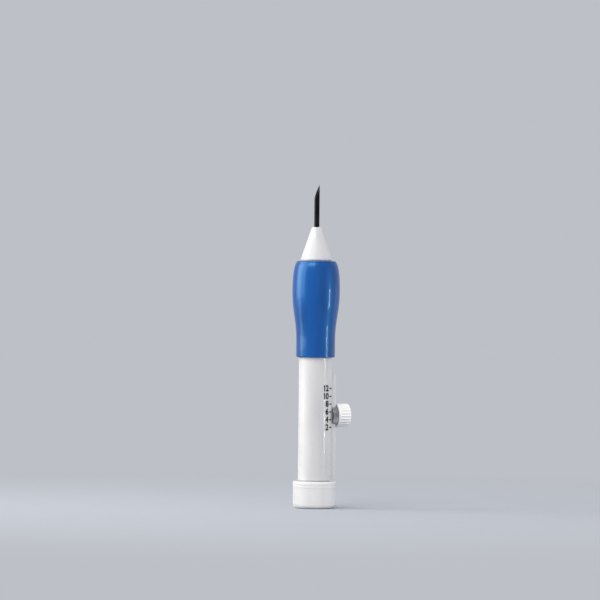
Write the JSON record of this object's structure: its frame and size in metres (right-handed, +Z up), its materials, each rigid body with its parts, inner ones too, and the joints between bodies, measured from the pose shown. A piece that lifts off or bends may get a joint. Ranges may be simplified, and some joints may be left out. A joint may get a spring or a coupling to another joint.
{
  "type": "punch needle",
  "caption": "Hollow pen-shaped punch needle: bevelled steel needle, nose cone, pear-shaped grip, slotted barrel with a depth scale and clamp knob, and an end cap.",
  "frame": {"origin": "centre of the end cap's flat bottom face, on the pen's axis, where the yarn enters", "axes": "+Z up the pen's axis towards the needle's point, +X from the axis towards the lock knob, +Y to the knob's left seen from outside"},
  "size_m": [0.0241, 0.0196, 0.1329],
  "materials": {
    "white_plastic": "glossy moulded white",
    "blue_grip": "glossy royal blue",
    "slider_plastic": "satin moulded white",
    "hub_plastic": "glossy moulded white",
    "needle_steel": "polished steel",
    "screw_steel": "turned steel",
    "saddle_steel": "dark polished steel",
    "insert_brass": "turned brass"
  },
  "bodies": {
    "handle": {"end_cap": "white_plastic", "barrel": "white_plastic", "grip_sleeve": "blue_grip", "nose_cone": "white_plastic"},
    "slider": {"needle_carrier": "slider_plastic", "needle_hub": "hub_plastic", "needle_tube": "needle_steel", "threaded_insert": "insert_brass", "saddle_washer": "saddle_steel"},
    "knob": {"lock_knob": "white_plastic", "lock_screw": "screw_steel"}
  },
  "joints": [
    {"name": "depth_slide", "type": "slide", "parent": "handle", "child": "slider", "axis": [0, 0, 1], "range_m": [-0.0218, 0.0112]},
    {"name": "knob_turn", "type": "hinge", "parent": "slider", "child": "knob", "pos_m": [0.0115, 0, 0.0381], "axis": [1, 0, 0], "range_deg": [0, 360]}
  ]
}
